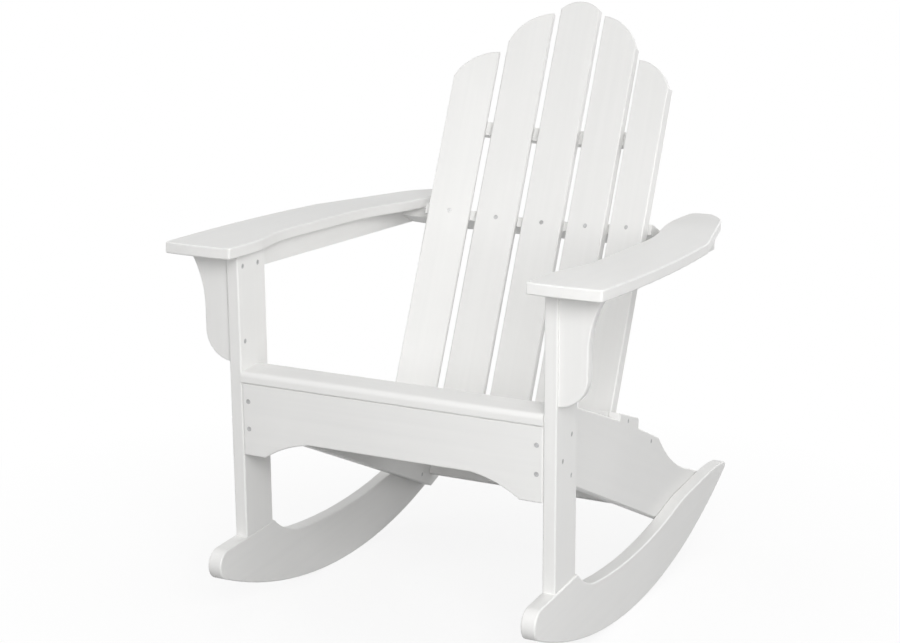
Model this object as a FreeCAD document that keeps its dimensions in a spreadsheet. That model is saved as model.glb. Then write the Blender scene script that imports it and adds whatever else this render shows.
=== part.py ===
import FreeCAD, Part
import math
import os
import Sketcher

# A rocking adirondack chair of white poly lumber boards and small steel screws.
# The chair is laid out in its own frame first: X across, Y back from the front
# face of the legs, Z up from the rockers' low line with the legs upright.
# Left and right are those of someone who faces the chair.
# All lengths are in millimetres and all angles in degrees.

SIZES = [
    # Legs and common stock
    ("leg_spread", 603.0, "outside face to outside face of the legs"),
    ("leg_thick", 23.0, "leg, across the chair"),
    ("leg_width", 87.6, "leg, front to back"),
    ("leg_base", 169.5, "height of the seat of the leg on the rocker"),
    ("edge_round", 3.0, "routed edge of the boards"),
    # Rockers
    ("rocker_radius", 1096.0, "bottom arc"),
    ("rocker_low", 423.0, "low point of the bottom arc, behind the leg's front"),
    ("rocker_thick", 26.0, "rocker, across the chair"),
    ("toe_radius", 27.0, "round front end"),
    ("tip_radius", 7.0, "round rear end"),
    ("tip_reach", 454.0, "middle of the rear end, behind the low point"),
    ("tip_angle", 11.0, "rise of the upper edge at the rear end"),
    ("crown_bend", 480.0, "crown in front of the rear end"),
    ("crown_fall", 0.5, "fall of the straight in front of the crown"),
    ("crown_run", 125.0, "straight in front of the crown"),
    ("brow_bend", 500.0, "turn from the straight into the hollow"),
    ("hollow_fall", 8.0, "fall of the upper edge at the rear of the hollow"),
    ("hollow_bend", 1317.0, "hollow of the upper edge"),
    ("hollow_rise", 10.0, "rise of the upper edge at the front of the hollow"),
    ("heel_bend", 160.0, "short hollow behind the leg"),
    ("heel_corner", 8.0, "round corner between that hollow and the leg's seat"),
    # Side rails, inside the legs and the rockers
    ("rail_thick", 23.0, "side rail, across the chair"),
    ("rail_bevel", 2.0, "edge of the side rails"),
    ("rebate_width", 12.0, "step in the side rail that carries the plain seat slats, across the chair"),
    ("rail_front_drop", 90.0, "depth of the front end"),
    ("rail_heel", 675.0, "corner of the lower edge, behind the leg's front"),
    ("rail_inset", 12.0, "rail's rear edge above the rocker's bottom arc"),
    ("rail_end", 790.0, "rear end, behind the leg's front"),
    ("rail_end_height", 118.0, "top of the rear end"),
    ("hump_gap", 8.0, "foot of the hump behind the plain seat slats"),
    ("hump_rise", 33.0, "height of the hump over the line under the seat slats"),
    ("hump_rear", 440.0, "rear corner of the hump, behind the leg's front"),
    ("hump_drop", 20.0, "drop behind the hump"),
    ("shoulder", 551.0, "upper end of the rear hollow, behind the leg's front"),
    ("shoulder_drop", 189.5, "upper end of the rear hollow, below the seat height"),
    ("ogee_bend", 420.0, "rear hollow"),
    ("ogee_foot", 735.0, "lower end of the rear hollow, behind the leg's front"),
    ("ogee_foot_height", 141.0, "lower end of the rear hollow"),
    # Seat
    ("seat_height", 451.5, "top of the side rails at the apron"),
    ("seat_flat", 54.5, "level top of the side rails ends here, behind the leg's front"),
    ("seat_thick", 20.0, "seat slats"),
    ("seat_gap", 8.0, "between seat slats"),
    ("nose_width", 60.0, "front seat slat"),
    ("nose_overhang", 3.0, "front seat slat, in front of the apron"),
    ("nose_round", 9.0, "front seat slat, upper front edge"),
    ("slat_depth", 90.0, "plain seat slats, front to back"),
    ("slat_play", 1.0, "between each end of a plain seat slat and the side rail"),
    ("seat_fall_front", 19.6, "fall of the second seat slat"),
    ("seat_fall_rear", 22.8, "fall of the third and fourth seat slats"),
    ("rear_board_fall", 21.3, "fall of the rear seat board"),
    # Apron
    ("apron_thick", 20.0, "apron, front to back"),
    ("apron_ends", 130.0, "depth at its ends"),
    ("apron_middle", 95.5, "depth at its middle"),
    ("apron_foot", 41.5, "width of each deep end"),
    ("apron_slope", 87.0, "width of each curve"),
    ("apron_bend", 200.0, "curve between deep ends and middle"),
    # Back
    ("recline", 25.6, "lean of the back from upright"),
    ("back_set", 569.2, "middle slat's face behind the leg's front, at the back's datum"),
    ("back_rise", 28.5, "back's datum above the seat height"),
    ("back_radius", 570.0, "hollow of the back, across it"),
    ("back_side", 30.5, "from the outer slats' flats to the side rails' inside faces"),
    ("slat_gap", 12.2, "between back slats"),
    ("slat_thick", 17.0, "back slats"),
    ("slat_bevel", 2.0, "edge of the back slats"),
    ("slat_foot", 230.0, "back slats, below the datum"),
    ("side_top_low", 430.0, "outer slats, outer corner above the datum"),
    ("side_top_high", 490.0, "outer slats, inner corner above the datum"),
    ("side_top_bend", 97.0, "outer slats, radius of the top"),
    ("next_top_low", 513.0, "second slats, outer corner above the datum"),
    ("next_top_high", 579.0, "second slats, inner corner above the datum"),
    ("next_top_bend", 99.0, "second slats, radius of the top"),
    ("peak_shoulder", 589.5, "middle slat, corners above the datum"),
    ("peak_bend", 58.0, "middle slat, radius of the top"),
    # Cross rails behind the back slats
    ("arm_rail_thick", 19.0, "rail at the arms"),
    ("cross_rail_depth", 86.0, "rear edge of the rails at the arms and the seat, behind the datum plane"),
    ("horn_front", 13.0, "front of their ends, behind the datum plane"),
    ("horn_rear", 65.0, "rear of their ends, behind the datum plane"),
    ("horn_inset", 23.5, "ends begin this far inside the side rails' inside faces"),
    ("top_rail_height", 26.0, "upper rail, along the slats"),
    ("top_rail_depth", 24.0, "upper rail, front to back"),
    ("top_rail_place", 339.0, "middle of the upper rail, above the datum"),
    ("top_rail_inset", 12.0, "ends of the upper rail, inside the outer slats' flats"),
    ("seat_rail_thick", 20.0, "rail at the seat"),
    ("seat_rail_place", 217.0, "middle of the rail at the seat, below the datum"),
    ("stretcher_thick", 20.0, "rear stretcher"),
    ("stretcher_width", 80.0, "rear stretcher"),
    ("stretcher_set", 664.2, "lower front edge of the stretcher, behind the leg's front"),
    ("stretcher_lift", 43.9, "that edge above the rockers' bottom arc"),
    # Arms
    ("arm_height", 673.5, "underside of the arms over the leg's front"),
    ("arm_fall", 3.8, "fall of the arms to the back"),
    ("arm_thick", 20.0, "arms"),
    ("arm_overhang", 45.0, "in front of the legs"),
    ("arm_length", 779.0, "rear edge, behind the leg's front"),
    ("arm_inset", 13.0, "inner edge at the front, inside the legs' inside faces"),
    ("arm_margin", 14.0, "outer edge at the front, outside the brackets' tops"),
    ("arm_corner", 4.0, "front corners"),
    ("arm_nose_bend", 620.0, "bow of the front edge"),
    ("arm_side_bend", 3200.0, "bow of the outer edge"),
    ("arm_taper", 321.0, "outer edge starts to draw in, in front of the rear edge"),
    ("tail_margin", 35.5, "outer edge where the round tail starts, outside the legs"),
    ("tail_start", 84.0, "round tail starts, in front of the rear edge"),
    ("tail_bend", 150.0, "outer curve of the tail"),
    ("tail_corner", 22.0, "inner corner of the tail"),
    ("tail_width", 38.5, "tail's rear edge, from the inner edge to its outer end"),
    ("tail_inset", 25.0, "inner edge at the tail, inside the legs' inside faces"),
    ("waist_margin", 11.5, "inner edge at its hollow, outside the legs' inside faces"),
    ("waist_lead", 15.0, "inner edge starts to draw out, behind the leg's front"),
    ("waist_front", 190.0, "front of the hollow, behind the leg's front"),
    ("waist_rear", 379.0, "rear of the hollow, in front of the rear edge"),
    ("waist_end", 79.0, "inner edge is back at the tail, in front of the rear edge"),
    # Boards and brackets under the arms
    ("ledger_deep", 36.5, "board under the arm, its depth"),
    ("ledger_thick", 20.0, "board under the arm, across the chair"),
    ("ledger_short", 67.0, "board under the arm, its end in front of the arm's rear edge"),
    ("bracket_set", 6.0, "front face behind the leg's front"),
    ("bracket_thick", 20.0, "front to back"),
    ("bracket_reach", 76.5, "width at the top"),
    ("bracket_waist", 49.0, "width at its straight part"),
    ("bracket_shoulder", 96.0, "straight part starts this far below the arm"),
    ("bracket_hip", 137.0, "straight part ends this far below the arm"),
    ("bracket_drop", 189.0, "lower end, this far below the arm"),
    # Screws
    ("apron_screw_upper", 32.5, "upper screws of the apron, below its top"),
    ("apron_screw_lower", 81.5, "lower screws of the apron, below its top"),
    ("leg_screw_front", 27.0, "front screw of the leg, behind the leg's front"),
    ("leg_screw_rear", 64.0, "rear screws of the leg, behind the leg's front"),
    ("leg_screw_drop", 63.5, "front screw of the leg, below the seat height"),
    ("leg_screw_spread", 35.0, "rear screws, above and below the front one"),
    ("bracket_screw_upper", 20.5, "upper screw of the bracket, below the arm"),
    ("bracket_screw_lower", 151.5, "lower screw of the bracket, below the arm"),
    ("ledger_screw_drop", 21.0, "screw of the board under the arm, below the arm"),
    ("rear_board_screw", 45.0, "screw of the rear seat board, behind its front edge"),
    ("seat_rail_screw", 37.0, "screw of the rail at the seat, behind the datum plane"),
    ("rocker_screw_lift", 58.5, "screws of the rocker, above its bottom arc"),
    ("rocker_screw_front", 633.0, "front screw of the rocker, behind the leg's front"),
    ("rocker_screw_rear", 740.0, "rear screw of the rocker, behind the leg's front"),
    ("screw_weight", 8.2, "weight of the screws' metal over that of the boards, for the same volume"),
    ("head_radius", 4.2, "screw head"),
    ("head_thick", 1.8, "screw head"),
    ("head_sink", 0.3, "head below the board's face"),
    ("shank_radius", 2.0, "screw shank"),
    ("screw_bite", 14.0, "shank in the second board"),
    ("socket_width", 2.6, "square socket for the driver"),
    ("socket_deep", 1.1, "square socket for the driver"),
    ("screw_clearance", 0.2, "round the head and the shank in the first board"),
    ("point_clearance", 1.0, "beyond the screw's point"),
]

doc = FreeCAD.newDocument("RockingChair")
sheet = doc.addObject("Spreadsheet::Sheet", "Sizes")


def fill_sheet():
    """Writes one row for each size, and three rows for how the chair comes to rest."""
    rest = [
        ("rest_lean", 0.0, "forward lean at which the chair balances"),
        ("rest_shift", 0.0, "moves the middle of the chair's depth to the origin"),
        ("rest_lift", 0.0, "puts the rockers' low line on the floor"),
    ]
    for row, (name, value, note) in enumerate(SIZES + rest, start=1):
        sheet.set("A%d" % row, note)
        sheet.set("B%d" % row, "%g" % value)
        sheet.setAlias("B%d" % row, name)
    doc.recompute()


class Amount:
    """A number together with the sheet formula that gives it."""

    def __init__(self, value, text):
        self.value = float(value)
        self.text = text

    def __add__(self, other):
        other = amount(other)
        return Amount(self.value + other.value, "(%s + %s)" % (self.text, other.text))

    def __sub__(self, other):
        other = amount(other)
        return Amount(self.value - other.value, "(%s - %s)" % (self.text, other.text))

    def __mul__(self, other):
        other = amount(other)
        return Amount(self.value * other.value, "(%s * %s)" % (self.text, other.text))

    def __truediv__(self, other):
        other = amount(other)
        return Amount(self.value / other.value, "(%s / %s)" % (self.text, other.text))

    def __radd__(self, other):
        return amount(other) + self

    def __rsub__(self, other):
        return amount(other) - self

    def __rmul__(self, other):
        return amount(other) * self

    def __neg__(self):
        return 0.0 - self


def amount(number):
    """A plain number as an Amount."""
    if isinstance(number, Amount):
        return number
    return Amount(number, "%g" % number if number >= 0 else "(0 - %g)" % -number)


def size(name):
    """A size from the sheet."""
    return Amount(sheet.get(name), "Sizes." + name)


def sine(angle):
    return Amount(math.sin(math.radians(angle.value)), "sin(%s)" % angle.text)


def cosine(angle):
    return Amount(math.cos(math.radians(angle.value)), "cos(%s)" % angle.text)


def tangent(angle):
    return sine(angle) / cosine(angle)


def arc_sine(ratio):
    return Amount(math.degrees(math.asin(ratio.value)), "(asin(%s) / 1 deg)" % ratio.text)


def root(square):
    return Amount(math.sqrt(square.value), "sqrt(%s)" % square.text)


# Bodies, sketches and features

# Points closer than this are taken as one
NEAR = 0.01

def origin_plane(body, role):
    """One of the body's own origin planes: XY_Plane, XZ_Plane or YZ_Plane."""
    return [plane for plane in body.Origin.OriginFeatures if plane.Role == role][0]


def bind(thing, path, value):
    """Ties a property to the sheet."""
    thing.setExpression(path, amount(value).text)


def place(thing, across, back, up, fall):
    """Sets an object in the chair's frame, turned down towards the back by the angle fall."""
    lean = size("rest_lean")
    back, up = amount(back), amount(up)
    thing.Placement = FreeCAD.Placement(FreeCAD.Vector(), FreeCAD.Rotation(FreeCAD.Vector(1, 0, 0), 1))
    bind(thing, "Placement.Rotation.Angle", lean - fall)
    bind(thing, "Placement.Base.x", across)
    bind(thing, "Placement.Base.y", back * cosine(lean) - up * sine(lean) + size("rest_shift"))
    bind(thing, "Placement.Base.z", back * sine(lean) + up * cosine(lean) + size("rest_lift"))


def new_body(name):
    body = doc.addObject("PartDesign::Body", name)
    body.Label = name
    return body


def new_sketch(body, role, offset=0, turn=None):
    """A sketch on one of the body's origin planes, or at an offset in front of it.

    With a turn, the plane is that of the back slat at this turn from the middle slat.
    """
    sketch = body.newObject("Sketcher::SketchObject", body.Name + "_sketch")
    sketch.AttachmentSupport = [(origin_plane(body, role), "")]
    sketch.MapMode = "FlatFace"
    if turn is None:
        bind(sketch, "AttachmentOffset.Base.z", offset)
        return sketch
    radius = size("back_radius")
    start_turn = FreeCAD.Rotation(FreeCAD.Vector(0, 1, 0), 1)
    sketch.AttachmentOffset = FreeCAD.Placement(FreeCAD.Vector(), start_turn)
    bind(sketch, "AttachmentOffset.Rotation.Angle", -turn)
    bind(sketch, "AttachmentOffset.Base.x", (radius - offset) * sine(turn))
    bind(sketch, "AttachmentOffset.Base.z", radius - (radius - offset) * cosine(turn))
    return sketch


def pin(sketch, shape, point, x, y):
    """Fixes one point of a sketched shape at x and y."""
    for kind, value in (("DistanceX", amount(x)), ("DistanceY", amount(y))):
        index = sketch.addConstraint(Sketcher.Constraint(kind, -1, 1, shape, point, value.value))
        sketch.setExpression("Constraints[%d]" % index, value.text)


def arc_between(start, end, radius, turn):
    """The smaller arc from start to end; turn is 1 for anticlockwise and -1 for clockwise."""
    chord = end - start
    middle = (start + end) * 0.5
    reach = math.sqrt(max(radius ** 2 - (chord.Length / 2) ** 2, 0))
    side = FreeCAD.Vector(-chord.y, chord.x, 0).normalize() * turn
    centre = middle + side * reach
    first, last = (start, end) if turn > 0 else (end, start)
    angles = [math.atan2(p.y - centre.y, p.x - centre.x) for p in (first, last)]
    if angles[1] < angles[0]:
        angles[1] += 2 * math.pi
    circle = Part.Circle(centre, FreeCAD.Vector(0, 0, 1), radius)
    return Part.ArcOfCircle(circle, angles[0], angles[1])


def outline(sketch, corners):
    """Draws a closed outline.

    Each corner is (x, y), or (x, y, radius, turn) where the side that leaves it is an arc.
    """
    count = len(corners)
    ends = []
    for place_in_turn, corner in enumerate(corners):
        after = corners[(place_in_turn + 1) % count]
        start = FreeCAD.Vector(amount(corner[0]).value, amount(corner[1]).value, 0)
        end = FreeCAD.Vector(amount(after[0]).value, amount(after[1]).value, 0)
        if len(corner) == 2:
            shape = sketch.addGeometry(Part.LineSegment(start, end))
            ends.append((shape, 1, 2))
            continue
        radius, turn = amount(corner[2]), corner[3]
        shape = sketch.addGeometry(arc_between(start, end, radius.value, turn))
        ends.append((shape, 1, 2) if turn > 0 else (shape, 2, 1))
    for number in range(count):
        shape, start, _ = ends[number]
        before, _, finish = ends[number - 1]
        sketch.addConstraint(Sketcher.Constraint("Coincident", before, finish, shape, start))
    for (shape, start, _), corner in zip(ends, corners):
        pin(sketch, shape, start, corner[0], corner[1])
    for (shape, _, _), corner in zip(ends, corners):
        if len(corner) == 4:
            radius = amount(corner[2])
            index = sketch.addConstraint(Sketcher.Constraint("Radius", shape, radius.value))
            sketch.setExpression("Constraints[%d]" % index, radius.text)


def pad(body, sketch, length, reverse=False):
    feature = body.newObject("PartDesign::Pad", body.Name + "_pad")
    feature.Profile = sketch
    feature.Reversed = reverse
    bind(feature, "Length", length)
    doc.recompute()
    return feature


def pad_both_ways(body, sketch, length):
    """A pad of the whole length, half to each side of its sketch."""
    feature = body.newObject("PartDesign::Pad", body.Name + "_pad")
    feature.Profile = sketch
    feature.SideType = "Symmetric"
    bind(feature, "Length", length)
    doc.recompute()
    return feature


def pocket(body, sketch, length=None, reverse=False):
    """Cuts the sketch to a depth, or right through both ways."""
    before = body.Shape.Volume
    feature = body.newObject("PartDesign::Pocket", body.Name + "_pocket")
    feature.Profile = sketch
    feature.Reversed = reverse
    if length is None:
        feature.SideType = "Symmetric"
        feature.Type = "ThroughAll"
    else:
        bind(feature, "Length", length)
    doc.recompute()
    if not body.Shape.Volume < before:
        raise RuntimeError("the cut in %s removes nothing" % body.Label)
    return feature


def edge_names(body, chosen):
    """The names of the edges of the body's last feature for which chosen(edge) is true."""
    return ["Edge%d" % number for number, edge in enumerate(body.Tip.Shape.Edges, start=1) if chosen(edge)]


def round_edges(body, chosen, radius="edge_round"):
    """Rounds the chosen edges of the body."""
    base, names = body.Tip, edge_names(body, chosen)
    feature = body.newObject("PartDesign::Fillet", body.Name + "_round")
    feature.Base = (base, names)
    bind(feature, "Radius", size(radius))
    doc.recompute()


def bevel_edges(body, chosen, width):
    """Takes the chosen edges of the body off by a width."""
    base, names = body.Tip, edge_names(body, chosen)
    feature = body.newObject("PartDesign::Chamfer", body.Name + "_bevel")
    feature.Base = (base, names)
    bind(feature, "Size", size(width))
    doc.recompute()


def runs_along(axis):
    """Chooses straight edges along one axis of the body."""
    def chosen(edge):
        ends = [vertex.Point for vertex in edge.Vertexes]
        if len(ends) != 2 or edge.Curve.TypeId != "Part::GeomLine":
            return False
        way = (ends[1] - ends[0]).normalize()
        return abs(abs(way[axis]) - 1) < NEAR ** 2
    return chosen


def lies_flat(axis):
    """Chooses edges that lie in a plane square to one axis of the body."""
    def chosen(edge):
        box = edge.BoundBox
        return (box.XLength, box.YLength, box.ZLength)[axis] < NEAR
    return chosen


def round_both_faces(body, axis, thick):
    """Rounds the outline of a board on its two faces, first the near face, then the far one."""
    for level in (0, thick.value):
        def on_face(edge):
            return lies_flat(axis)(edge) and abs(edge.Vertexes[0].Point[axis] - level) < NEAR
        round_edges(body, on_face)


def circles(sketch, centres, radius):
    """Draws one circle of the radius at each centre."""
    for x, y in centres:
        middle = FreeCAD.Vector(amount(x).value, amount(y).value, 0)
        shape = sketch.addGeometry(Part.Circle(middle, FreeCAD.Vector(0, 0, 1), radius.value))
        pin(sketch, shape, 3, x, y)
        index = sketch.addConstraint(Sketcher.Constraint("Radius", shape, radius.value))
        sketch.setExpression("Constraints[%d]" % index, radius.text)


class Way:
    """A face that screws enter: an origin plane of a body, an offset from it and their way.

    The way inward is 1 along the plane's normal and -1 against it.
    """

    def __init__(self, role, face, inward, turn=None):
        self.role = role
        self.face = amount(face)
        self.inward = inward
        self.turn = turn

    def sketch(self, body, depth):
        """A sketch at a depth below the face."""
        return new_sketch(body, self.role, self.face + self.inward * depth, self.turn)


def bore(body, way, centres, radius, depth):
    """Round holes of one radius and depth."""
    sketch = way.sketch(body, 0)
    circles(sketch, centres, radius)
    pocket(body, sketch, depth, way.inward > 0)


def first_board_holes(body, way, centres, thick):
    """A seat for each head and a clear hole for each shank, in the board that the screws go through."""
    clearance = size("screw_clearance")
    bore(body, way, centres, size("head_radius") + clearance, size("head_sink") + size("head_thick"))
    bore(body, way, centres, size("shank_radius") + clearance, thick)


def second_board_holes(body, way, centres):
    """A tight blind hole for each shank, in the board that the screws hold."""
    bore(body, way, centres, size("shank_radius"), size("screw_bite") + size("point_clearance"))


# Lines and planes that several pieces share

SIDES = (("left", -1), ("right", 1))
STEPS = (-2, -1, 0, 1, 2)


def leg_outer_face():
    """Outside face of the legs and inside face of the boards under the arms."""
    return size("leg_spread") / 2


def leg_inner_face():
    """Inside face of the legs and rockers, outside face of the side rails."""
    return leg_outer_face() - size("leg_thick")


def rail_inner_face():
    return leg_inner_face() - size("rail_thick")


def bracket_tip():
    """Outer end of a bracket's top, from the middle of the chair."""
    return leg_outer_face() + size("bracket_reach")


def arm_underside(back):
    """Height of the arm's underside at a distance behind the leg's front."""
    return size("arm_height") - back * tangent(size("arm_fall"))


def rocker_bottom(back, inset):
    """Height of the arc that lies an inset above the rocker's bottom."""
    reach = size("rocker_radius") - inset
    off = back - size("rocker_low")
    return size("rocker_radius") - root(reach * reach - off * off)


def above_line(corner, fall, height):
    """The point a height above a line that falls to the back, square to it."""
    return corner[0] + height * sine(fall), corner[1] + height * cosine(fall)


def seat_corners():
    """Corners of the line that the plain seat slats lie on, from the front slat back."""
    plain = size("slat_depth") + size("seat_gap")
    back, up = size("seat_flat"), size("seat_height")
    corners = [(back, up)]
    for fall in (size("seat_fall_front"), size("seat_fall_rear"), size("seat_fall_rear")):
        back = back + plain * cosine(fall)
        up = up - plain * sine(fall)
        corners.append((back, up))
    return corners


def hump_front():
    """Foot and top of the hump's front edge, which the rear seat board continues."""
    fall = size("seat_fall_rear")
    back, up = seat_corners()[-1]
    gap, rise = size("hump_gap"), size("hump_rise")
    foot = (back + gap * cosine(fall), up - gap * sine(fall))
    return above_line(foot, fall, size("seat_thick")), above_line(foot, fall, rise)


def rail_top_line():
    """The side rail's upper edge behind the front seat slat, level with the tops of the plain slats."""
    corners, front, thick = seat_corners(), size("seat_fall_front"), size("seat_thick")
    step = size("seat_gap") / 2
    start = (corners[0][0] + step * cosine(front), corners[0][1] - step * sine(front))
    return [start, above_line(start, front, thick), above_line(corners[1], front, thick)]


def back_datum():
    """Height of the datum from which the back's heights count."""
    return size("seat_height") + size("back_rise")


def back_half():
    """Half the width of the back's hollow."""
    return rail_inner_face() - size("back_side")


def slat_turn():
    """Turn from one back slat to the next: five equal flats fill the hollow."""
    return arc_sine(back_half() / size("back_radius")) / (len(STEPS) / 2)


def slat_width():
    return 2 * size("back_radius") * tangent(slat_turn() / 2) - size("slat_gap")


def into_back(back, up):
    """A point of the chair's frame, in the back's own frame: (behind its datum plane, above its datum)."""
    lean = size("recline")
    off_back, off_up = back - size("back_set"), up - back_datum()
    return (
        off_back * cosine(lean) - off_up * sine(lean),
        off_back * sine(lean) + off_up * cosine(lean),
    )


def place_in_back(thing):
    """Sets an object in the back's own frame: Y square to the middle slat, Z along it."""
    place(thing, 0, size("back_set"), back_datum(), size("recline"))


def hollow_line(depth, end):
    """The line of flats on which the five back slats lie, from right to left, drawn on the level.

    Each flat is square to its slat and lies a depth behind the slats' faces. The last flats run
    to the distance end from the middle of the chair.
    """
    radius = size("back_radius")
    reach = (radius + depth) / cosine(slat_turn() / 2)
    points = []
    for turns in (0.5, 1.5):
        angle = slat_turn() * turns
        points.append((reach * sine(angle), reach * cosine(angle) - radius))
    last_x, last_y = points[-1]
    points.append((end, last_y - (end - last_x) * tangent(slat_turn() * 2)))
    return points[::-1] + [(-x, y) for x, y in points]


# Screws: where each group of them goes through one board into the next


def apron_screws():
    """Through the apron into the ends of the side rails."""
    across = rail_inner_face() + size("rail_thick") / 2
    top = size("seat_height")
    heights = (top - size("apron_screw_upper"), top - size("apron_screw_lower"))
    return [(across * side, up) for side in (-1, 1) for up in heights]


def leg_screws():
    """Through each leg into the side rail."""
    near, far = size("leg_screw_front"), size("leg_screw_rear")
    middle, spread = size("seat_height") - size("leg_screw_drop"), size("leg_screw_spread")
    return [(far, middle + spread), (near, middle), (far, middle - spread)]


def bracket_screws():
    """Through each leg into the bracket outside it."""
    back = size("bracket_set") + size("bracket_thick") / 2
    top = arm_underside(back)
    return [(back, top - size("bracket_screw_upper")), (back, top - size("bracket_screw_lower"))]


def ledger_screw():
    """Through each leg into the board under the arm."""
    back = size("leg_screw_rear")
    return [(back, arm_underside(back) - size("ledger_screw_drop"))]


def cross_screws():
    """Through each side rail into the rear seat board, and into the rail at the seat."""
    board = rear_board_middle()
    rail = out_of_back(size("seat_rail_screw"), -size("seat_rail_place"))
    return [board, rail]


def rocker_screws():
    """Through each side rail into the rocker, on a line along the rocker."""
    lift = size("rocker_screw_lift")
    backs = (size("rocker_screw_front"), size("rocker_screw_rear"))
    return [(back, rocker_bottom(back, lift)) for back in backs]


def slat_screw():
    """Through each back slat into the rail at the arms, on the slat's middle line."""
    return [(0, arm_rail_along())]


def out_of_back(deep, along):
    """A point of the back's own frame, in the chair's frame."""
    lean = size("recline")
    return (
        size("back_set") + deep * cosine(lean) + along * sine(lean),
        back_datum() - deep * sine(lean) + along * cosine(lean),
    )


def rear_board_middle():
    """Middle of the rear seat board's end, in the chair's frame."""
    fall = size("rear_board_fall")
    back, up = hump_front()[1]
    run, drop = size("rear_board_screw"), size("seat_thick") / 2
    return back + run * cosine(fall) - drop * sine(fall), up - run * sine(fall) - drop * cosine(fall)


def arm_rail_along():
    """Middle of the rail at the arms, whose upper front edge touches the arms, along the slats."""
    lean, fall = size("recline"), size("arm_fall")
    front = size("horn_front")
    level = arm_underside(size("back_set") + front * cosine(lean))
    rise = level - back_datum() + front * sine(lean)
    return rise / (cosine(lean) + tangent(fall) * sine(lean)) - size("arm_rail_thick") / 2


fill_sheet()


# Legs, rockers and side rails


def make_leg(name, side):
    body = new_body("leg_" + name)
    sketch = new_sketch(body, "YZ_Plane")
    width, base, thick = size("leg_width"), size("leg_base"), size("leg_thick")
    outline(sketch, [(0, base), (width, base), (width, arm_underside(width)), (0, arm_underside(0))])
    pad(body, sketch, thick)
    round_edges(body, runs_along(2))
    outer, inner = (thick, 0) if side > 0 else (0, thick)
    first_board_holes(body, Way("YZ_Plane", outer, -side), leg_screws(), thick)
    first_board_holes(body, Way("YZ_Plane", inner, side), bracket_screws() + ledger_screw(), thick)
    place(body, leg_inner_face() if side > 0 else -leg_outer_face(), 0, 0, 0)
    return body


def rocker_top():
    """Upper edge of the rocker, from its rear end to the leg: one bend after another, all smooth."""
    big, tip = size("rocker_radius"), size("tip_radius")
    back = size("rocker_low") + size("tip_reach")
    reach = big - tip
    up = big - root(reach * reach - size("tip_reach") * size("tip_reach"))
    start, fall = size("tip_angle"), size("crown_fall")
    sink, rise = size("hollow_fall"), size("hollow_rise")
    crown, brow, hollow, heel = (size(name + "_bend") for name in ("crown", "brow", "hollow", "heel"))
    back, up = back + tip * sine(start), up + tip * cosine(start)
    corners = [(back, up, crown, 1)]
    back, up = back - crown * (sine(start) + sine(fall)), up + crown * (cosine(fall) - cosine(start))
    corners.append((back, up))
    run = size("crown_run")
    back, up = back - run * cosine(fall), up - run * sine(fall)
    corners.append((back, up, brow, 1))
    back, up = back - brow * (sine(sink) - sine(fall)), up - brow * (cosine(fall) - cosine(sink))
    corners.append((back, up, hollow, -1))
    back, up = back - hollow * (sine(sink) + sine(rise)), up + hollow * (cosine(sink) - cosine(rise))
    corners.append((back, up, heel, -1))
    corner = size("heel_corner")
    end_cosine = (heel * cosine(rise) + corner - (size("leg_base") - up)) / (heel + corner)
    end_sine = root(1 - end_cosine * end_cosine)
    back, up = back - heel * (end_sine - sine(rise)), up + heel * (cosine(rise) - end_cosine)
    corners.append((back, up, corner, 1))
    corners.append((back - corner * end_sine, size("leg_base")))
    return corners


def toe_middle():
    """Middle of the rocker's round front end, which touches the bottom arc and the leg's seat."""
    big, toe = size("rocker_radius"), size("toe_radius")
    up = size("leg_base") - toe
    return size("rocker_low") - root((big - toe) * (big - toe) - (big - up) * (big - up)), up


def on_bottom(back, up, radius):
    """Where a round end of a radius, with its middle at (back, up), touches the bottom arc."""
    big, low = size("rocker_radius"), size("rocker_low")
    scale = big / (big - radius)
    return low + (back - low) * scale, big + (up - big) * scale


def make_rocker(name, side):
    body = new_body("rocker_" + name)
    sketch = new_sketch(body, "YZ_Plane")
    toe_back, toe_up = toe_middle()
    tip = size("tip_radius")
    tip_back = size("rocker_low") + size("tip_reach")
    toe_foot = on_bottom(toe_back, toe_up, size("toe_radius"))
    tip_foot = on_bottom(tip_back, rocker_bottom(tip_back, tip), tip)
    outline(sketch, [toe_foot + (size("rocker_radius"), 1), tip_foot + (tip, 1)] + rocker_top() + [
        (toe_back, size("leg_base"), size("toe_radius"), 1),
    ])
    pad(body, sketch, size("rocker_thick"))
    round_both_faces(body, 0, size("rocker_thick"))
    inner = 0 if side > 0 else size("rocker_thick")
    second_board_holes(body, Way("YZ_Plane", inner, side), rocker_screws())
    across = leg_inner_face() if side > 0 else -(leg_inner_face() + size("rocker_thick"))
    place(body, across, 0, 0, 0)
    return body


def cut_rebate(body, side):
    """Cuts the step in which the plain seat slats lie out of the rail's upper inner edge."""
    corners, thick = seat_corners(), size("rail_thick")
    start, rise = rail_top_line()[0], size("seat_thick") + size("rail_bevel")
    front, rear = size("seat_fall_front"), size("seat_fall_rear")
    sketch = new_sketch(body, "YZ_Plane", 0 if side > 0 else thick)
    outline(sketch, [
        start,
        corners[1],
        corners[-1],
        above_line(corners[-1], rear, rise),
        above_line(corners[1], rear, rise),
        above_line(start, front, rise),
    ])
    pocket(body, sketch, size("rebate_width"), side > 0)


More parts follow.
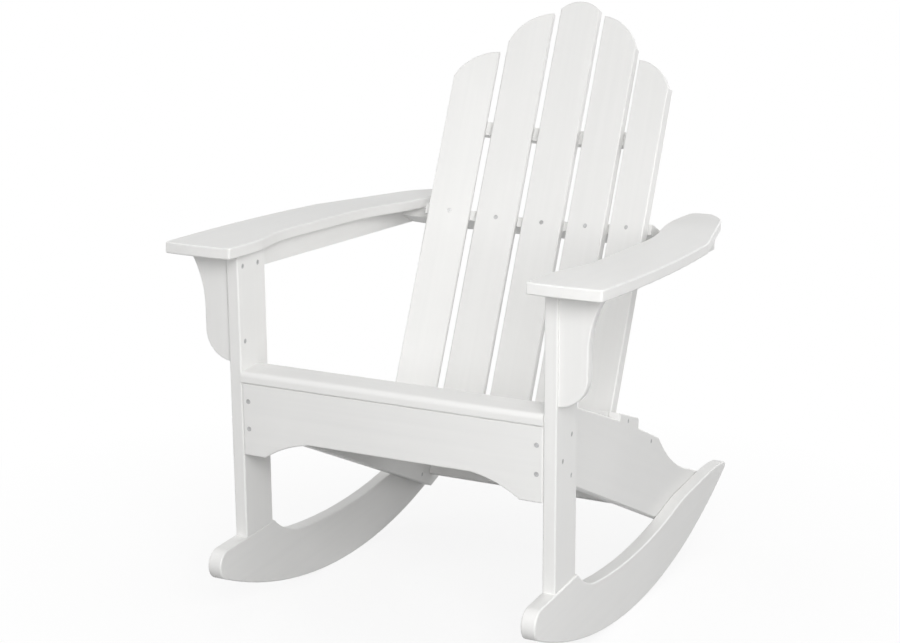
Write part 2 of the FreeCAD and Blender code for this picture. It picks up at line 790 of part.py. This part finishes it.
def make_side_rail(name, side):
    body = new_body("side_rail_" + name)
    sketch = new_sketch(body, "YZ_Plane")
    front, top = size("apron_thick"), size("seat_height")
    hump_foot, hump_top = hump_front()
    heel, end, inset = size("rail_heel"), size("rail_end"), size("rail_inset")
    hump_rear = size("hump_rear")
    hump_end = hump_top[1] - (hump_rear - hump_top[0]) * tangent(size("rear_board_fall"))
    outline(sketch, [
        (front, top - size("rail_front_drop")),
        (heel, rocker_bottom(heel, inset), size("rocker_radius") - inset, 1),
        (end, rocker_bottom(end, inset)),
        (end, size("rail_end_height")),
        (size("ogee_foot"), size("ogee_foot_height"), size("ogee_bend"), -1),
        (size("shoulder"), top - size("shoulder_drop")),
        (hump_rear, hump_end - size("hump_drop")),
        (hump_rear, hump_end),
        hump_top,
        hump_foot,
    ] + rail_top_line()[::-1] + [seat_corners()[0], (front, top)])
    thick = size("rail_thick")
    pad(body, sketch, thick)
    bevel_edges(body, lies_flat(0), "rail_bevel")
    cut_rebate(body, side)
    outer, inner = (thick, 0) if side > 0 else (0, thick)
    second_board_holes(body, Way("YZ_Plane", outer, -side), leg_screws())
    first_board_holes(body, Way("YZ_Plane", outer, -side), cross_screws(), thick)
    first_board_holes(body, Way("YZ_Plane", inner, side), rocker_screws(), thick)
    centres = [(thick / 2, point[1]) for point in apron_screws()[:2]]
    second_board_holes(body, Way("XZ_Plane", -front, -1), centres)
    place(body, rail_inner_face() if side > 0 else -leg_inner_face(), 0, 0, 0)
    return body


# Apron and seat


def make_apron():
    body = new_body("apron")
    sketch = new_sketch(body, "XZ_Plane")
    half, top = leg_inner_face(), size("seat_height")
    ends, middle = top - size("apron_ends"), top - size("apron_middle")
    foot, bend = half - size("apron_foot"), size("apron_bend")
    crest = foot - size("apron_slope")
    outline(sketch, [
        (-half, ends),
        (-foot, ends, bend, -1),
        (-crest, middle),
        (crest, middle, bend, -1),
        (foot, ends),
        (half, ends),
        (half, top),
        (-half, top),
    ])
    thick = size("apron_thick")
    pad(body, sketch, thick, reverse=True)
    round_both_faces(body, 1, thick)
    first_board_holes(body, Way("XZ_Plane", 0, -1), apron_screws(), thick)
    place(body, 0, 0, 0, 0)
    return body


def board_section(body, start, depth):
    """A seat board's cross-section, lying on the level line of its own frame."""
    sketch = new_sketch(body, "YZ_Plane")
    thick = size("seat_thick")
    outline(sketch, [(start, 0), (start + depth, 0), (start + depth, thick), (start, thick)])
    return sketch


def make_plain_slat(number):
    """The second, third or fourth seat slat, behind its corner of the seat line."""
    body = new_body("seat_slat_%d" % number)
    corner = seat_corners()[number - 2]
    fall = size("seat_fall_front") if number == 2 else size("seat_fall_rear")
    sketch = board_section(body, size("seat_gap") / 2, size("slat_depth"))
    pad_both_ways(body, sketch, (rail_inner_face() + size("rebate_width") - size("slat_play")) * 2)
    round_edges(body, runs_along(0))
    place(body, 0, corner[0], corner[1], fall)
    return body


def make_front_slat():
    """The front seat slat, with a bold round on its upper front edge."""
    body = new_body("seat_slat_front")
    start = amount(-size("nose_overhang"))
    sketch = board_section(body, start, size("nose_width"))
    pad_both_ways(body, sketch, leg_inner_face() * 2)

    def is_nose(edge):
        point = edge.Vertexes[0].Point
        return point.y < start.value + NEAR and point.z > size("seat_thick").value / 2

    def bold(edge):
        return runs_along(0)(edge) and is_nose(edge)

    def fine(edge):
        point = edge.Vertexes[0].Point
        return runs_along(0)(edge) and (point.y > size("apron_thick").value or point.z < NEAR)

    round_edges(body, bold, "nose_round")
    round_edges(body, fine)
    place(body, 0, 0, size("seat_height"), 0)
    return body


def make_rear_seat_board():
    """The wide rear board of the seat, between the side rails, cut to the hollow of the back."""
    body = new_body("seat_board_rear")
    turn = size("recline") - size("rear_board_fall")
    top_deep, top_along = into_back(*hump_front()[1])
    thick = size("seat_thick")
    long = thick - top_deep
    run_deep, run_along = cosine(turn), sine(turn)
    low_deep, low_along = top_deep + thick * sine(turn), top_along - thick * cosine(turn)
    sketch = new_sketch(body, "YZ_Plane")
    outline(sketch, [
        (low_deep, low_along),
        (low_deep + long * run_deep, low_along + long * run_along),
        (top_deep + long * run_deep, top_along + long * run_along),
        (top_deep, top_along),
    ])
    pad_both_ways(body, sketch, rail_inner_face() * 2)
    cut = new_sketch(body, "XY_Plane")
    half, far = rail_inner_face() + thick, 2 * thick
    outline(cut, hollow_line(0, half) + [(-half, far), (half, far)])
    pocket(body, cut)
    centres = [into_back(*cross_screws()[0])]
    for side in (-1, 1):
        second_board_holes(body, Way("YZ_Plane", rail_inner_face() * side, -side), centres)
    place_in_back(body)
    return body


# Back


def make_back_slat(number):
    """One of the five back slats, numbered from left to right, on a flat of the back's hollow."""
    body = new_body("back_slat_%d" % number)
    step = number - 3
    angle = slat_turn() * step
    radius, width, thick = size("back_radius"), slat_width(), size("slat_thick")
    middle_x, middle_y = radius * sine(angle), radius * cosine(angle) - radius
    half_x, half_y = width / 2 * cosine(angle), -(width / 2 * sine(angle))
    deep_x, deep_y = thick * sine(angle), thick * cosine(angle)
    section = new_sketch(body, "XY_Plane", -size("slat_foot"))
    outline(section, [
        (middle_x - half_x, middle_y - half_y),
        (middle_x + half_x, middle_y + half_y),
        (middle_x + half_x + deep_x, middle_y + half_y + deep_y),
        (middle_x - half_x + deep_x, middle_y - half_y + deep_y),
    ])
    shape_of_top = {
        0: ("peak_shoulder", "peak_shoulder", "peak_bend"),
        1: ("next_top_high", "next_top_low", "next_top_bend"),
        2: ("side_top_high", "side_top_low", "side_top_bend"),
    }
    inner, outer, bend = (size(name) for name in shape_of_top[abs(step)])
    left, right = (outer, inner) if step < 0 else (inner, outer)
    above = inner + bend
    pad(body, section, size("slat_foot") + above)
    cut = new_sketch(body, "XZ_Plane")
    reach = width / 2 + thick
    outline(cut, [
        (middle_x - reach, left),
        (middle_x - half_x, left, bend, -1),
        (middle_x + half_x, right),
        (middle_x + reach, right),
        (middle_x + reach, above + bend),
        (middle_x - reach, above + bend),
    ])
    pocket(body, cut)
    square = FreeCAD.Vector(sine(angle).value, cosine(angle).value, 0)
    front = FreeCAD.Vector(middle_x.value, middle_y.value, 0).dot(square)
    for level in (0, thick.value):
        def on_face(edge):
            return all(abs(vertex.Point.dot(square) - front - level) < NEAR for vertex in edge.Vertexes)
        bevel_edges(body, on_face, "slat_bevel")
    first_board_holes(body, Way("XZ_Plane", 0, -1, angle), slat_screw(), thick)
    place_in_back(body)
    return body


def contoured_rail(name, half, thick, along):
    """A rail behind the slats: hollow front edge, set-back ends and a straight rear edge."""
    body = new_body(name)
    sketch = new_sketch(body, "XY_Plane", along - thick / 2)
    start = rail_inner_face() - size("horn_inset")
    front, rear, deep = size("horn_front"), size("horn_rear"), size("cross_rail_depth")
    outline(sketch, hollow_line(size("slat_thick"), start) + [
        (-start, front),
        (-half, front),
        (-half, rear),
        (-start, deep),
        (start, deep),
        (half, rear),
        (half, front),
        (start, front),
    ])
    pad(body, sketch, thick)
    place_in_back(body)
    return body


def make_arm_rail():
    rail = contoured_rail("back_rail_arms", leg_outer_face(), size("arm_rail_thick"), arm_rail_along())
    for step in STEPS:
        way = Way("XZ_Plane", -size("slat_thick"), -1, slat_turn() * step)
        second_board_holes(rail, way, slat_screw())
    return rail


def make_seat_rail():
    half, thick = rail_inner_face(), size("seat_rail_thick")
    rail = contoured_rail("back_rail_seat", half, thick, -size("seat_rail_place"))
    centres = [into_back(*cross_screws()[1])]
    for side in (-1, 1):
        second_board_holes(rail, Way("YZ_Plane", half * side, -side), centres)
    return rail


def make_top_rail():
    body = new_body("back_rail_top")
    height, deep = size("top_rail_height"), size("top_rail_depth")
    reach = back_half() - size("top_rail_inset")
    sketch = new_sketch(body, "XY_Plane", size("top_rail_place") - height / 2)
    front = hollow_line(size("slat_thick"), reach)
    rear = hollow_line(size("slat_thick") + deep, reach)
    outline(sketch, front + rear[::-1])
    pad(body, sketch, height)
    place_in_back(body)
    return body


def make_rear_stretcher():
    body = new_body("rear_stretcher")
    sketch = new_sketch(body, "YZ_Plane")
    thick, width = size("stretcher_thick"), size("stretcher_width")
    outline(sketch, [(0, 0), (thick, 0), (thick, width), (0, width)])
    pad_both_ways(body, sketch, rail_inner_face() * 2)
    round_edges(body, runs_along(0))
    back = size("stretcher_set")
    place(body, 0, back, rocker_bottom(back, size("stretcher_lift")), size("recline"))
    return body


# Arms and what carries them


def double_bend(start, end):
    """Two arcs that lead from one straight to a parallel one: their radius and their meeting point."""
    across, back = end[0] - start[0], end[1] - start[1]
    radius = (across * across + back * back) / (4 * across)
    return radius, ((start[0] + end[0]) / 2, (start[1] + end[1]) / 2)


def mirrored(corners):
    """The same outline on the other side of the middle, drawn the same way round."""
    turned = []
    for number in range(len(corners) - 1, -1, -1):
        x, y = corners[number][:2]
        turned.append((-x, y) + tuple(corners[number - 1][2:]))
    return turned


def make_arm(name, side):
    body = new_body("arm_" + name)
    sketch = new_sketch(body, "XY_Plane")
    front, corner = -size("arm_overhang"), size("arm_corner")
    inner, outer = leg_inner_face() - size("arm_inset"), bracket_tip() + size("arm_margin")
    tail, end, tail_corner = leg_inner_face() - size("tail_inset"), size("arm_length"), size("tail_corner")
    waist = leg_inner_face() + size("waist_margin")
    waist_rear, waist_end = end - size("waist_rear"), end - size("waist_end")
    rear_radius, rear_middle = double_bend((tail, waist_end), (waist, waist_rear))
    front_radius, front_middle = double_bend((inner, size("waist_lead")), (waist, size("waist_front")))
    corners = [
        (inner + corner, front, size("arm_nose_bend"), 1),
        (outer - corner, front, corner, 1),
        (outer, front + corner, size("arm_side_bend"), 1),
        (outer, end - size("arm_taper")),
        (leg_outer_face() + size("tail_margin"), end - size("tail_start"), size("tail_bend"), 1),
        (tail + size("tail_width"), end),
        (tail + tail_corner, end, tail_corner, 1),
        (tail, end - tail_corner),
        (tail, waist_end, rear_radius, 1),
        rear_middle + (rear_radius, -1),
        (waist, waist_rear),
        (waist, size("waist_front"), front_radius, -1),
        front_middle + (front_radius, 1),
        (inner, size("waist_lead")),
        (inner, front + corner, corner, 1),
    ]
    outline(sketch, corners if side > 0 else mirrored(corners))
    pad(body, sketch, size("arm_thick"))
    round_edges(body, lies_flat(2))
    place(body, 0, 0, size("arm_height"), size("arm_fall"))
    return body


def make_ledger(name, side):
    """The board under the arm, fixed to the outside of the leg."""
    body = new_body("arm_ledger_" + name)
    sketch = new_sketch(body, "YZ_Plane")
    start, end = size("bracket_set") + size("bracket_thick"), size("arm_length") - size("ledger_short")
    deep, thick = size("ledger_deep"), size("ledger_thick")
    outline(sketch, [
        (start, arm_underside(start) - deep),
        (end, arm_underside(end) - deep),
        (end, arm_underside(end)),
        (start, arm_underside(start)),
    ])
    pad(body, sketch, thick)
    near = 0 if side > 0 else thick
    second_board_holes(body, Way("YZ_Plane", near, side), ledger_screw())
    place(body, leg_outer_face() if side > 0 else -(leg_outer_face() + thick), 0, 0, 0)
    return body


def make_bracket(name, side):
    """The shaped bracket under the front of the arm, fixed to the outside of the leg."""
    body = new_body("bracket_" + name)
    sketch = new_sketch(body, "XZ_Plane")
    leg, thick = leg_outer_face(), size("bracket_thick")
    top = arm_underside(size("bracket_set"))
    waist, reach = leg + size("bracket_waist"), bracket_tip()
    hip, shoulder, foot = (size("bracket_" + level) for level in ("hip", "shoulder", "drop"))
    spread = size("bracket_reach") - size("bracket_waist")
    upper = (spread * spread + shoulder * shoulder) / (2 * spread)
    drop = foot - hip
    lower = (drop * drop + size("bracket_waist") * size("bracket_waist")) / (2 * size("bracket_waist"))
    corners = [
        (leg, top - foot, lower, 1),
        (waist, top - hip),
        (waist, top - shoulder, upper, -1),
        (reach, top),
        (leg, top),
    ]
    outline(sketch, corners if side > 0 else mirrored(corners))
    pad(body, sketch, thick, reverse=True)
    back = size("bracket_set")
    trim = new_sketch(body, "YZ_Plane")
    outline(trim, [
        (0, top),
        (thick, arm_underside(back + thick)),
        (thick, top + thick),
        (0, top + thick),
    ])
    pocket(body, trim)
    for level in (0, thick.value):
        def on_curve(edge):
            middle = edge.CenterOfMass
            outside = abs(middle.x) > leg.value + NEAR
            below = middle.z < top.value - size("bracket_screw_upper").value
            return lies_flat(1)(edge) and outside and below and abs(middle.y - level) < NEAR
        round_edges(body, on_curve)
    centres = [(y - back, z) for y, z in bracket_screws()]
    second_board_holes(body, Way("YZ_Plane", leg * side, side), centres)
    place(body, 0, back, 0, 0)
    return body


# Groups of like screws


def make_screws(name, groups):
    """One group of screws: for each (way, centres, thickness of the first board)."""
    body = new_body("screws_" + name)
    body.AllowCompound = True
    sink, head = size("head_sink"), size("head_thick")
    for way, centres, thick in groups:
        on_face = way.sketch(body, sink)
        circles(on_face, centres, size("head_radius"))
        pad(body, on_face, head, way.inward < 0)
        under_head = way.sketch(body, sink + head)
        circles(under_head, centres, size("shank_radius"))
        pad(body, under_head, thick - sink - head + size("screw_bite"), way.inward < 0)
        socket = way.sketch(body, sink)
        half = size("socket_width") / 2
        for x, y in centres:
            left, right, low, high = x - half, x + half, y - half, y + half
            outline(socket, [(left, low), (right, low), (right, high), (left, high)])
        pocket(body, socket, size("socket_deep"), way.inward > 0)
    place(body, 0, 0, 0, 0)
    return body


def make_all_screws():
    leg, rail = size("leg_thick"), size("rail_thick")
    outside, between, inside = leg_outer_face(), leg_inner_face(), rail_inner_face()
    under_arms = bracket_screws() + ledger_screw()
    turns = [slat_turn() * step for step in STEPS]
    slats = [(Way("XZ_Plane", 0, -1, turn), slat_screw(), size("slat_thick")) for turn in turns]
    groups = [
        make_screws("apron", [(Way("XZ_Plane", 0, -1), apron_screws(), size("apron_thick"))]),
        make_screws("legs", [(Way("YZ_Plane", outside * s, -s), leg_screws(), leg) for s in (-1, 1)]),
        make_screws("arms", [(Way("YZ_Plane", between * s, s), under_arms, leg) for s in (-1, 1)]),
        make_screws("rails", [(Way("YZ_Plane", between * s, -s), cross_screws(), rail) for s in (-1, 1)]),
        make_screws("rockers", [(Way("YZ_Plane", inside * s, s), rocker_screws(), rail) for s in (-1, 1)]),
        make_screws("back", slats),
    ]
    place_in_back(groups[-1])
    return groups


# The whole chair, and how it comes to rest


def make_boards():
    boards = []
    for name, side in SIDES:
        boards += [make_leg(name, side), make_rocker(name, side), make_side_rail(name, side)]
        boards += [make_arm(name, side), make_ledger(name, side), make_bracket(name, side)]
    boards += [make_apron(), make_front_slat()]
    boards += [make_plain_slat(number) for number in (2, 3, 4)]
    boards += [make_rear_seat_board()]
    boards += [make_back_slat(step + 3) for step in STEPS]
    boards += [make_arm_rail(), make_seat_rail(), make_top_rail(), make_rear_stretcher()]
    return boards


def solids_of(pieces):
    return [solid for piece in pieces for solid in piece.Shape.Solids]


def balance(boards, screws):
    """Leans the chair until its weight is over the point where the rockers touch the floor.

    The floor point lies under the middle of the bottom arc, and the origin lies on the floor
    under the middle of the chair's depth.
    """
    weight, moment = 0.0, FreeCAD.Vector()
    for pieces, heaviness in ((boards, 1.0), (screws, size("screw_weight").value)):
        for solid in solids_of(pieces):
            weight += solid.Volume * heaviness
            moment += solid.CenterOfMass * (solid.Volume * heaviness)
    centre = moment * (1 / weight)
    radius, low = size("rocker_radius").value, size("rocker_low").value
    lean = math.atan2(low - centre.y, radius - centre.z)
    sheet.set("rest_lean", "%.6f" % math.degrees(lean))
    sheet.set("rest_lift", "%.6f" % (radius - low * math.sin(lean) - radius * math.cos(lean)))
    doc.recompute()
    boxes = [solid.optimalBoundingBox(False) for solid in solids_of(boards)]
    front, rear = min(box.YMin for box in boxes), max(box.YMax for box in boxes)
    sheet.set("rest_shift", "%.6f" % (-(front + rear) / 2))
    doc.recompute()


def check_document(pieces):
    """Stops if any object failed or any sub-part has no sound shape."""
    for thing in doc.Objects:
        if "Invalid" in thing.State or "Error" in thing.State:
            raise RuntimeError("%s is not built: %s" % (thing.Label, thing.State))
    for piece in pieces:
        if piece.Shape.isNull() or not piece.Shape.isValid():
            raise RuntimeError("%s has no sound shape" % piece.Label)


all_boards = make_boards()
all_screws = make_all_screws()
doc.recompute()
balance(all_boards, all_screws)
check_document(all_boards + all_screws)
os.makedirs("parts", exist_ok=True)
for part in all_boards + all_screws:
    part.Shape.exportStep(os.path.join("parts", part.Label + ".step"))
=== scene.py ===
"""A white rocking adirondack chair of satin poly lumber boards, on a plain pale floor."""
import math

import bpy
from mathutils import Matrix, Vector


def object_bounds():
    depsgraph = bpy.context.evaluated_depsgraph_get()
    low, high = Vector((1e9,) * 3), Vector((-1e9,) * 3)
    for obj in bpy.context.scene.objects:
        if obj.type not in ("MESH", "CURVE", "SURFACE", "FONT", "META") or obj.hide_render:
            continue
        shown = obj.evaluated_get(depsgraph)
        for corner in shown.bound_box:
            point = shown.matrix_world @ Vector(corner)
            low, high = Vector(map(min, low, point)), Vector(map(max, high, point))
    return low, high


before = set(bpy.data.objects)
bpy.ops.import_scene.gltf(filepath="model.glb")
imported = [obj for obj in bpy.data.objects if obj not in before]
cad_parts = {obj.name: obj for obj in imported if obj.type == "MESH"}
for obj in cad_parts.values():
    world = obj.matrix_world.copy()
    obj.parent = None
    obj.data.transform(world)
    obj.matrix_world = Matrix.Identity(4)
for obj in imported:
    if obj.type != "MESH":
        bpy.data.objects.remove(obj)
cad_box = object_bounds()

# How the upright chair, measured from the front of its legs, stands at rest
REST_LEAN = math.radians(3.84255)
REST_SHIFT = -0.38909
REST_LIFT = -0.02588

# The view, in the frame of the upright chair
EYE = Vector((1.3954, -2.6388, 1.4169))
AIM = Vector((-0.0005, 0.2400, 0.5313))
VIEW_ROLL = math.radians(-0.302)
LENS = 76.42
SENSOR = 36.0

# The light of the room from above, and soft lamps: place and watts
ROOM_LIGHT = 0.47
LAMP_WIDTH = 2.0
LAMPS = {
    "key": ((1.691, -2.93, 1.731), 93.0),
    "right": ((3.268, -0.876, 1.731), 8.0),
    "left": ((-3.464, -0.303, 1.432), 33.0),
    "above": ((0.0, -0.314, 4.086), 5.0),
    "back": ((2.004, 2.388, 2.3), 17.0),
    "behind": ((1.0, 3.4, 1.1), 16.0),
}

# How far below and above the horizon the room light fades out and is full
ROOM_DARK = -0.1
ROOM_FULL = 0.3

# The floor: its side, its paleness, and what it gives back to the chair
FLOOR_SIDE = 30.0
FLOOR_PALE = 0.92
FLOOR_CLOUDS = 0.02
FLOOR_ROUGHNESS = 0.9
FLOOR_BOUNCE = 0.3
WHITE = (1.0, 1.0, 1.0, 1.0)

# Where on the floor the chair's shadow shows, and how much white lies over it
SHADOW_REACH = 0.55
SHADOW_END = 1.25
FLOOR_VEIL = 0.85

# The boards' finish
BOARD_WHITE = (0.80, 0.797, 0.785)
BOARD_COOLER = (0.765, 0.763, 0.752)
BOARD_ROUGHNESS = 0.36
STREAK_ROUGHNESS = 0.14
BOARD_IOR = 1.5
GRAIN_STRETCH = 0.03
BOARD_RELIEF = 0.0006
BOARD_BUMP = 0.18

# The screws' finish
STEEL_PALE = (0.56, 0.56, 0.57)
STEEL_STAINED = (0.40, 0.395, 0.39)
STEEL_METAL = 0.7
STEEL_ROUGHNESS = 0.35
GRIT_ROUGHNESS = 0.25
STEEL_RELIEF = 0.0002
STEEL_BUMP = 0.3

# Directions of the boards' grain, in the frame of the upright chair
RECLINE = math.radians(25.6)
RAIL_FALL = math.radians(26.0)
UPRIGHT = (0.0, 0.0, 1.0)
LEVEL = (0.0, 1.0, 0.0)
ACROSS = (1.0, 0.0, 0.0)
BACKWARD_LEAN = (0.0, math.sin(RECLINE), math.cos(RECLINE))
RAIL_LINE = (0.0, math.cos(RAIL_FALL), -math.sin(RAIL_FALL))


def lean(vector):
    """Turns a direction of the upright chair to the resting one."""
    return Matrix.Rotation(REST_LEAN, 3, "X") @ Vector(vector)


def to_rest(point):
    """Moves a point of the upright chair to where it is at rest."""
    return lean(point) + Vector((0.0, REST_SHIFT, REST_LIFT))


class Wire:
    """A socket that does arithmetic in Python expressions, each of which adds its Math node."""

    def __init__(self, paint, socket):
        self.paint = paint
        self.socket = socket

    def maths(self, operation, first, second, clamp=False):
        settings = {"operation": operation, "use_clamp": clamp}
        return self.paint.node("ShaderNodeMath", settings, {0: first, 1: second})

    def __add__(self, other):
        return self.maths("ADD", self, other)

    def __radd__(self, other):
        return self.maths("ADD", other, self)

    def __sub__(self, other):
        return self.maths("SUBTRACT", self, other)

    def __rsub__(self, other):
        return self.maths("SUBTRACT", other, self)

    def __mul__(self, other):
        return self.maths("MULTIPLY", self, other)

    def __rmul__(self, other):
        return self.maths("MULTIPLY", other, self)

    def between(self, low, high):
        """0 at low, 1 at high, and no further."""
        return self.maths("MULTIPLY", self - low, 1.0 / (high - low), clamp=True)

    def either(self, other):
        """The larger of the two."""
        return self.maths("MAXIMUM", self, other)


class Paint:
    """The node tree of one material, or of the world."""

    def __init__(self, owner):
        owner.use_nodes = True
        self.owner = owner
        self.tree = owner.node_tree
        self.tree.nodes.clear()

    def node(self, kind, settings=None, sockets=None, output=0):
        """Adds one node, from its type, its settings, and its sockets' values or links."""
        node = self.tree.nodes.new(kind)
        for name, value in (settings or {}).items():
            setattr(node, name, value)
        for name, value in (sockets or {}).items():
            if isinstance(value, Wire):
                self.tree.links.new(value.socket, node.inputs[name])
            else:
                node.inputs[name].default_value = value
        return Wire(self, node.outputs[output] if node.outputs else None)

    def place(self):
        """The place on the object."""
        return self.node("ShaderNodeTexCoord", output="Object")

    def place_along(self, grain, ratio):
        """The place on the object, squeezed along the grain so that noise runs out along it."""
        turn = grain.rotation_difference(Vector(UPRIGHT)).to_euler()
        sockets = {"Vector": self.place(), "Rotation": turn}
        turned = self.node("ShaderNodeVectorRotate", {"rotation_type": "EULER_XYZ"}, sockets)
        squeeze = (1.0, 1.0, ratio)
        return self.node("ShaderNodeVectorMath", {"operation": "MULTIPLY"}, {0: turned, 1: squeeze})

    def noise(self, place, scale, detail, roughness):
        """Soft noise from 0 to 1 at a place."""
        sockets = {"Vector": place, "Scale": scale, "Detail": detail, "Roughness": roughness}
        return self.node("ShaderNodeTexNoise", None, sockets)

    def blend(self, factor, first, second):
        """A colour between two colours."""
        sockets = {0: factor, 6: first + (1.0,), 7: second + (1.0,)}
        return self.node("ShaderNodeMix", {"data_type": "RGBA"}, sockets, output=2)

    def bump(self, height, strength, distance):
        """The surface's slope under fine relief."""
        sockets = {"Height": height, "Strength": strength, "Distance": distance}
        return self.node("ShaderNodeBump", None, sockets)

    def seen_directly(self):
        """1 for the rays of a camera, a gloss or a clear surface, and 0 for those that carry light."""
        camera, gloss, clear = (
            self.node("ShaderNodeLightPath", output=name)
            for name in ("Is Camera Ray", "Is Glossy Ray", "Is Transmission Ray")
        )
        return camera.either(gloss).either(clear)

    def surface(self, **sockets):
        """Ends the tree in a plain shaded surface."""
        named = {name.replace("_", " "): value for name, value in sockets.items()}
        return self.end("ShaderNodeOutputMaterial", self.node("ShaderNodeBsdfPrincipled", None, named))

    def end(self, kind, shader):
        self.node(kind, None, {"Surface": shader})
        return self.owner


def poly_lumber(name, along):
    """Satin white moulded board: faint drawn lines along it, a fine skin and slight clouding."""
    paint = Paint(bpy.data.materials.new(name))
    drawn = paint.place_along(lean(along), GRAIN_STRETCH)
    lines = paint.noise(drawn, 420.0, 4.0, 0.6)
    streaks = paint.noise(drawn, 90.0, 2.0, 0.5)
    skin = paint.noise(paint.place(), 900.0, 2.0, 0.5)
    clouds = paint.noise(paint.place(), 6.0, 3.0, 0.5)
    shade = 0.5 * clouds.between(0.3, 0.7) + 0.5 * streaks.between(0.3, 0.7)
    return paint.surface(
        Base_Color=paint.blend(shade, BOARD_COOLER, BOARD_WHITE),
        Roughness=BOARD_ROUGHNESS + STREAK_ROUGHNESS * streaks,
        Normal=paint.bump(0.6 * lines + 0.4 * skin, BOARD_BUMP, BOARD_RELIEF),
        IOR=BOARD_IOR,
    )


def screw_steel():
    """Pale stainless steel with a fine grit and slight stains."""
    paint = Paint(bpy.data.materials.new("screw_steel"))
    grit = paint.noise(paint.place(), 1400.0, 3.0, 0.6)
    stain = paint.noise(paint.place(), 160.0, 3.0, 0.6)
    return paint.surface(
        Base_Color=paint.blend(stain.between(0.35, 0.7), STEEL_PALE, STEEL_STAINED),
        Metallic=STEEL_METAL,
        Roughness=STEEL_ROUGHNESS + GRIT_ROUGHNESS * grit,
        Normal=paint.bump(grit, STEEL_BUMP, STEEL_RELIEF),
    )


def dress(node, material):
    """Gives a CAD node one material."""
    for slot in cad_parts[node].material_slots:
        slot.material = material


def dress_chair():
    """Each board's grain runs along it."""
    upright = poly_lumber("board_upright", UPRIGHT)
    across = poly_lumber("board_across", ACROSS)
    level = poly_lumber("board_level", LEVEL)
    sloping = poly_lumber("board_sloping", RAIL_LINE)
    leaning = poly_lumber("board_leaning", BACKWARD_LEAN)
    steel = screw_steel()
    grain = {
        "leg": upright, "bracket": upright,
        "apron": across, "seat": across, "back_rail": across, "rear_stretcher": across,
        "rocker": level, "arm": level,
        "side_rail": sloping,
        "back_slat": leaning,
        "screws": steel,
    }
    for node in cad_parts:
        start = max((key for key in grain if node.startswith(key)), key=len)
        dress(node, grain[start])


def make_camera():
    """Looks at the chair from the photograph's viewing angle."""
    data = bpy.data.cameras.new("view")
    data.lens = LENS
    data.sensor_width = SENSOR
    data.sensor_fit = "HORIZONTAL"
    data.clip_start = 0.1
    data.clip_end = 60.0
    camera = bpy.data.objects.new("view", data)
    bpy.context.collection.objects.link(camera)
    back = (EYE - AIM).normalized()
    right = Vector((0.0, 0.0, 1.0)).cross(back).normalized()
    up = back.cross(right)
    turned_right = right * math.cos(VIEW_ROLL) + up * math.sin(VIEW_ROLL)
    turned_up = up * math.cos(VIEW_ROLL) - right * math.sin(VIEW_ROLL)
    axes = [lean(axis) for axis in (turned_right, turned_up, back)]
    camera.matrix_world = Matrix.Translation(to_rest(EYE)) @ Matrix(axes).transposed().to_4x4()
    bpy.context.scene.camera = camera


def make_floor():
    """A pale floor that keeps the chair's soft shadow and turns plain white further out."""
    bpy.ops.mesh.primitive_plane_add(size=FLOOR_SIDE, location=(0.0, 0.0, 0.0))
    floor = bpy.context.object
    floor.name = "floor"
    paint = Paint(bpy.data.materials.new("floor_paint"))
    clouds = paint.noise(paint.place(), 1.5, 2.0, 0.5)
    seen = paint.seen_directly()
    pale = FLOOR_CLOUDS * clouds + FLOOR_PALE
    shade = seen * (pale - FLOOR_BOUNCE) + FLOOR_BOUNCE
    lit = paint.node("ShaderNodeBsdfPrincipled", None, {"Base Color": shade, "Roughness": FLOOR_ROUGHNESS})
    white = paint.node("ShaderNodeEmission", None, {"Color": WHITE, "Strength": 1.0})
    from_middle = {0: paint.place()}
    reach = paint.node("ShaderNodeVectorMath", {"operation": "LENGTH"}, from_middle, output="Value")
    outward = (1.0 - FLOOR_VEIL) * reach.between(SHADOW_REACH, SHADOW_END) + FLOOR_VEIL
    mixed = paint.node("ShaderNodeMixShader", None, {0: outward * seen, 1: lit, 2: white})
    floor.data.materials.append(paint.end("ShaderNodeOutputMaterial", mixed))


def make_world():
    """White to the camera, and to the chair a plain light that comes from above."""
    world = bpy.data.worlds.new("studio")
    bpy.context.scene.world = world
    paint = Paint(world)
    direction = paint.node("ShaderNodeTexCoord", output="Generated")
    height = paint.node("ShaderNodeSeparateXYZ", None, {0: direction}, output="Z")
    room = ROOM_LIGHT * height.between(ROOM_DARK, ROOM_FULL)
    sockets = {"Color": WHITE, "Strength": room.either(paint.seen_directly())}
    paint.end("ShaderNodeOutputWorld", paint.node("ShaderNodeBackground", None, sockets))


def make_lamp(name, place, watts):
    """A square soft lamp that faces the chair's middle."""
    data = bpy.data.lights.new(name, "AREA")
    data.shape = "SQUARE"
    data.size = LAMP_WIDTH
    data.energy = watts
    lamp = bpy.data.objects.new(name, data)
    bpy.context.collection.objects.link(lamp)
    lamp.location = place
    middle = Vector((0.0, 0.0, cad_box[1][2] / 2.0))
    lamp.rotation_euler = (middle - lamp.location).to_track_quat("-Z", "Y").to_euler()


def light_scene():
    make_world()
    for name, (place, watts) in LAMPS.items():
        make_lamp(name, place, watts)


dress_chair()
make_floor()
light_scene()
make_camera()
bpy.context.scene.view_settings.view_transform = "Standard"
